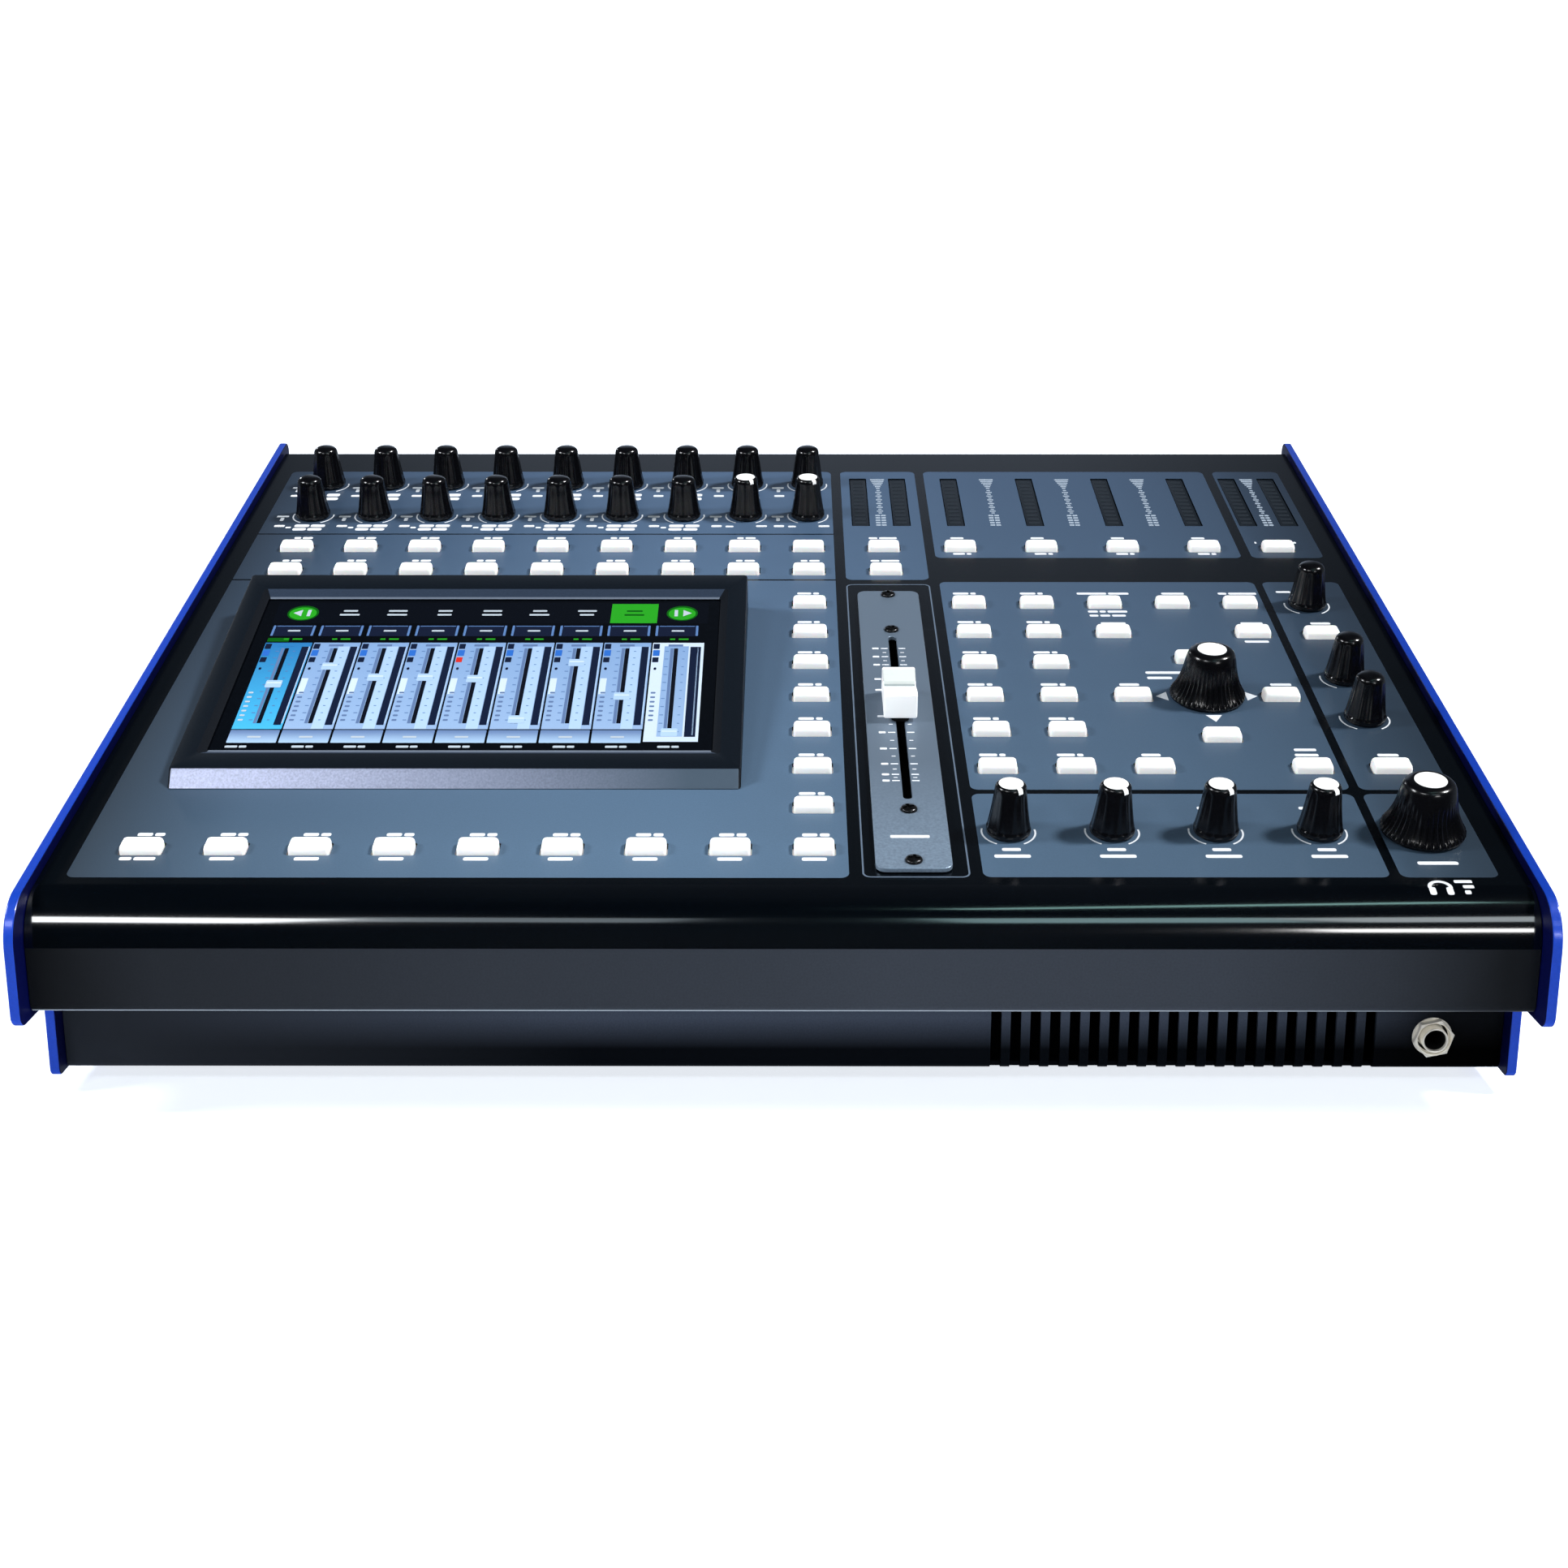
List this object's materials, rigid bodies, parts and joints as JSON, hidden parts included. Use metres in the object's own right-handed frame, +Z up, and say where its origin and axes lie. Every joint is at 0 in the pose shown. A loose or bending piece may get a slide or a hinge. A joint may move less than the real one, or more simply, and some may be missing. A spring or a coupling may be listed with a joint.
{
  "type": "digital mixing desk",
  "caption": "Sloped desktop audio mixing desk with blue side cheeks, a raised touchscreen, rotary controls, rubber keys, a long fader and rear sockets.",
  "frame": {"origin": "middle of the footprint, on the plane the feet rest on", "axes": "+X to the operator's right, +Y to the rear, +Z up; the front edge faces -Y"},
  "size_m": [0.44, 0.3686, 0.1643],
  "materials": {
    "cheek_blue": "smooth satin powder coat",
    "case_black": "semi-gloss black paint under a slate blue printed overlay",
    "tray_black": "fine satin black powder coat",
    "socket_black": "moulded matte nylon",
    "bezel_black": "satin moulding with a speckled silver grey front lip",
    "screen_glass": "polished cover glass",
    "lcd_metal": "plain rolled steel",
    "lens_tint": "smoked clear moulding",
    "fader_plate_grey": "fine blasted and anodised",
    "zinc": "zinc plated",
    "cap_white": "satin moulding",
    "knob_black": "glossy moulding",
    "key_silicone": "translucent white silicone",
    "nickel": "bright nickel plate",
    "board_green": "solder mask",
    "foot_rubber": "matte"
  },
  "bodies": {
    "chassis": {"top_panel": "case_black", "left_cheek": "cheek_blue", "right_cheek": "cheek_blue", "bottom_tray": "tray_black", "rear_panel": "case_black", "socket_block": "socket_black", "power_inlet": "socket_black", "foot_front_left": "foot_rubber", "foot_front_right": "foot_rubber", "foot_rear_left": "foot_rubber", "foot_rear_right": "foot_rubber", "screen_bezel": "bezel_black", "touch_glass": "screen_glass", "lcd_module": "lcd_metal", "meter_lens_bank": "lens_tint", "fader_plate": "fader_plate_grey", "fader_track": "zinc", "headphone_jack": "nickel", "headphone_nut": "nickel", "surface_board_left": "board_green", "surface_board_right": "board_green", "main_board": "board_green", "power_supply": "zinc"},
    "power_rocker": {"power_rocker": "socket_black"},
    "fader_cap": {"fader_cap": "cap_white"},
    "keys_channel_select": {"keys_channel_select": "key_silicone"},
    "keys_channel_on": {"keys_channel_on": "key_silicone"},
    "keys_bank_column": {"keys_bank_column": "key_silicone"},
    "keys_page_row": {"keys_page_row": "key_silicone"},
    "keys_strip_pair": {"keys_strip_pair": "key_silicone"},
    "keys_meter_row": {"keys_meter_row": "key_silicone"},
    "keys_group_grid": {"keys_group_grid": "key_silicone"},
    "keys_cursor_field": {"keys_cursor_field": "key_silicone"},
    "knob_gain_1": {"knob_gain_1": "knob_black"},
    "knob_gain_2": {"knob_gain_2": "knob_black"},
    "knob_gain_3": {"knob_gain_3": "knob_black"},
    "knob_gain_4": {"knob_gain_4": "knob_black"},
    "knob_gain_5": {"knob_gain_5": "knob_black"},
    "knob_gain_6": {"knob_gain_6": "knob_black"},
    "knob_gain_7": {"knob_gain_7": "knob_black"},
    "knob_gain_8": {"knob_gain_8": "knob_black"},
    "knob_gain_9": {"knob_gain_9": "knob_black"},
    "knob_send_1": {"knob_send_1": "knob_black"},
    "knob_send_2": {"knob_send_2": "knob_black"},
    "knob_send_3": {"knob_send_3": "knob_black"},
    "knob_send_4": {"knob_send_4": "knob_black"},
    "knob_send_5": {"knob_send_5": "knob_black"},
    "knob_send_6": {"knob_send_6": "knob_black"},
    "knob_send_7": {"knob_send_7": "knob_black"},
    "knob_send_8": {"knob_send_8": "knob_black"},
    "knob_send_9": {"knob_send_9": "knob_black"},
    "knob_aux_1": {"knob_aux_1": "knob_black"},
    "knob_aux_2": {"knob_aux_2": "knob_black"},
    "knob_aux_3": {"knob_aux_3": "knob_black"},
    "knob_aux_4": {"knob_aux_4": "knob_black"},
    "knob_monitor_1": {"knob_monitor_1": "knob_black"},
    "knob_monitor_2": {"knob_monitor_2": "knob_black"},
    "knob_monitor_3": {"knob_monitor_3": "knob_black"},
    "knob_parameter": {"knob_parameter": "knob_black"},
    "knob_volume": {"knob_volume": "knob_black"}
  },
  "joints": [
    {"name": "fader_slide", "type": "slide", "parent": "chassis", "child": "fader_cap", "axis": [0, 0.9686, 0.2487], "range_m": [-0.053, 0.047]},
    {"name": "power_rocker_tip", "type": "hinge", "parent": "chassis", "child": "power_rocker", "pos_m": [0.15, 0.17535, 0.034], "axis": [1, 0, 0], "range_deg": [-16, 0]},
    {"name": "keys_channel_select_press", "type": "slide", "parent": "chassis", "child": "keys_channel_select", "axis": [0, 0.2487, -0.9686], "range_m": [0, 0.001], "stiffness_N_per_m": 600, "springref_m": -0.0012},
    {"name": "keys_channel_on_press", "type": "slide", "parent": "chassis", "child": "keys_channel_on", "axis": [0, 0.2487, -0.9686], "range_m": [0, 0.001], "stiffness_N_per_m": 600, "springref_m": -0.0012},
    {"name": "keys_bank_column_press", "type": "slide", "parent": "chassis", "child": "keys_bank_column", "axis": [0, 0.2487, -0.9686], "range_m": [0, 0.001], "stiffness_N_per_m": 600, "springref_m": -0.0012},
    {"name": "keys_page_row_press", "type": "slide", "parent": "chassis", "child": "keys_page_row", "axis": [0, 0.2487, -0.9686], "range_m": [0, 0.001], "stiffness_N_per_m": 600, "springref_m": -0.0012},
    {"name": "keys_strip_pair_press", "type": "slide", "parent": "chassis", "child": "keys_strip_pair", "axis": [0, 0.2487, -0.9686], "range_m": [0, 0.001], "stiffness_N_per_m": 600, "springref_m": -0.0012},
    {"name": "keys_meter_row_press", "type": "slide", "parent": "chassis", "child": "keys_meter_row", "axis": [0, 0.2487, -0.9686], "range_m": [0, 0.001], "stiffness_N_per_m": 600, "springref_m": -0.0012},
    {"name": "keys_group_grid_press", "type": "slide", "parent": "chassis", "child": "keys_group_grid", "axis": [0, 0.2487, -0.9686], "range_m": [0, 0.001], "stiffness_N_per_m": 600, "springref_m": -0.0012},
    {"name": "keys_cursor_field_press", "type": "slide", "parent": "chassis", "child": "keys_cursor_field", "axis": [0, 0.2487, -0.9686], "range_m": [0, 0.001], "stiffness_N_per_m": 600, "springref_m": -0.0012},
    {"name": "knob_parameter_turn", "type": "hinge", "parent": "chassis", "child": "knob_parameter", "pos_m": [0.1432, -0.04879, 0.09837], "axis": [0, -0.2487, 0.9686], "continuous": true},
    {"name": "knob_volume_turn", "type": "hinge", "parent": "chassis", "child": "knob_volume", "pos_m": [0.1927, -0.13558, 0.07609], "axis": [0, -0.2487, 0.9686], "range_deg": [-150, 150]},
    {"name": "knob_aux_1_turn", "type": "hinge", "parent": "chassis", "child": "knob_aux_1", "pos_m": [0.068, -0.13567, 0.07606], "axis": [0, -0.2487, 0.9686], "range_deg": [-150, 150]},
    {"name": "knob_monitor_1_turn", "type": "hinge", "parent": "chassis", "child": "knob_monitor_1", "pos_m": [0.1927, 0.02337, 0.1169], "axis": [0, -0.2487, 0.9686], "range_deg": [-150, 150]},
    {"name": "knob_send_8_turn", "type": "hinge", "parent": "chassis", "child": "knob_send_8", "pos_m": [-0.01565, 0.10715, 0.13841], "axis": [0, -0.2487, 0.9686], "range_deg": [-150, 150]},
    {"name": "knob_gain_1_turn", "type": "hinge", "parent": "chassis", "child": "knob_gain_1", "pos_m": [-0.19065, 0.14008, 0.14686], "axis": [0, -0.2487, 0.9686], "range_deg": [-150, 150]},
    {"name": "knob_gain_2_turn", "type": "hinge", "parent": "chassis", "child": "knob_gain_2", "pos_m": [-0.16565, 0.14008, 0.14686], "axis": [0, -0.2487, 0.9686], "range_deg": [-150, 150]},
    {"name": "knob_gain_3_turn", "type": "hinge", "parent": "chassis", "child": "knob_gain_3", "pos_m": [-0.14065, 0.14008, 0.14686], "axis": [0, -0.2487, 0.9686], "range_deg": [-150, 150]},
    {"name": "knob_gain_4_turn", "type": "hinge", "parent": "chassis", "child": "knob_gain_4", "pos_m": [-0.11565, 0.14008, 0.14686], "axis": [0, -0.2487, 0.9686], "range_deg": [-150, 150]},
    {"name": "knob_gain_5_turn", "type": "hinge", "parent": "chassis", "child": "knob_gain_5", "pos_m": [-0.09065, 0.14008, 0.14686], "axis": [0, -0.2487, 0.9686], "range_deg": [-150, 150]},
    {"name": "knob_gain_6_turn", "type": "hinge", "parent": "chassis", "child": "knob_gain_6", "pos_m": [-0.06565, 0.14008, 0.14686], "axis": [0, -0.2487, 0.9686], "range_deg": [-150, 150]},
    {"name": "knob_gain_7_turn", "type": "hinge", "parent": "chassis", "child": "knob_gain_7", "pos_m": [-0.04065, 0.14008, 0.14686], "axis": [0, -0.2487, 0.9686], "range_deg": [-150, 150]},
    {"name": "knob_gain_8_turn", "type": "hinge", "parent": "chassis", "child": "knob_gain_8", "pos_m": [-0.01565, 0.14008, 0.14686], "axis": [0, -0.2487, 0.9686], "range_deg": [-150, 150]},
    {"name": "knob_gain_9_turn", "type": "hinge", "parent": "chassis", "child": "knob_gain_9", "pos_m": [0.00935, 0.14008, 0.14686], "axis": [0, -0.2487, 0.9686], "range_deg": [-150, 150]},
    {"name": "knob_send_1_turn", "type": "hinge", "parent": "chassis", "child": "knob_send_1", "pos_m": [-0.19065, 0.10715, 0.13841], "axis": [0, -0.2487, 0.9686], "range_deg": [-150, 150]},
    {"name": "knob_send_2_turn", "type": "hinge", "parent": "chassis", "child": "knob_send_2", "pos_m": [-0.16565, 0.10715, 0.13841], "axis": [0, -0.2487, 0.9686], "range_deg": [-150, 150]},
    {"name": "knob_send_3_turn", "type": "hinge", "parent": "chassis", "child": "knob_send_3", "pos_m": [-0.14065, 0.10715, 0.13841], "axis": [0, -0.2487, 0.9686], "range_deg": [-150, 150]},
    {"name": "knob_send_4_turn", "type": "hinge", "parent": "chassis", "child": "knob_send_4", "pos_m": [-0.11565, 0.10715, 0.13841], "axis": [0, -0.2487, 0.9686], "range_deg": [-150, 150]},
    {"name": "knob_send_5_turn", "type": "hinge", "parent": "chassis", "child": "knob_send_5", "pos_m": [-0.09065, 0.10715, 0.13841], "axis": [0, -0.2487, 0.9686], "range_deg": [-150, 150]},
    {"name": "knob_send_6_turn", "type": "hinge", "parent": "chassis", "child": "knob_send_6", "pos_m": [-0.06565, 0.10715, 0.13841], "axis": [0, -0.2487, 0.9686], "range_deg": [-150, 150]},
    {"name": "knob_send_7_turn", "type": "hinge", "parent": "chassis", "child": "knob_send_7", "pos_m": [-0.04065, 0.10715, 0.13841], "axis": [0, -0.2487, 0.9686], "range_deg": [-150, 150]},
    {"name": "knob_send_9_turn", "type": "hinge", "parent": "chassis", "child": "knob_send_9", "pos_m": [0.00935, 0.10715, 0.13841], "axis": [0, -0.2487, 0.9686], "range_deg": [-150, 150]},
    {"name": "knob_aux_2_turn", "type": "hinge", "parent": "chassis", "child": "knob_aux_2", "pos_m": [0.09925, -0.13567, 0.07606], "axis": [0, -0.2487, 0.9686], "range_deg": [-150, 150]},
    {"name": "knob_aux_3_turn", "type": "hinge", "parent": "chassis", "child": "knob_aux_3", "pos_m": [0.1305, -0.13567, 0.07606], "axis": [0, -0.2487, 0.9686], "range_deg": [-150, 150]},
    {"name": "knob_aux_4_turn", "type": "hinge", "parent": "chassis", "child": "knob_aux_4", "pos_m": [0.16175, -0.13567, 0.07606], "axis": [0, -0.2487, 0.9686], "range_deg": [-150, 150]},
    {"name": "knob_monitor_2_turn", "type": "hinge", "parent": "chassis", "child": "knob_monitor_2", "pos_m": [0.1927, -0.03523, 0.10185], "axis": [0, -0.2487, 0.9686], "range_deg": [-150, 150]},
    {"name": "knob_monitor_3_turn", "type": "hinge", "parent": "chassis", "child": "knob_monitor_3", "pos_m": [0.1927, -0.06429, 0.09439], "axis": [0, -0.2487, 0.9686], "range_deg": [-150, 150]}
  ]
}
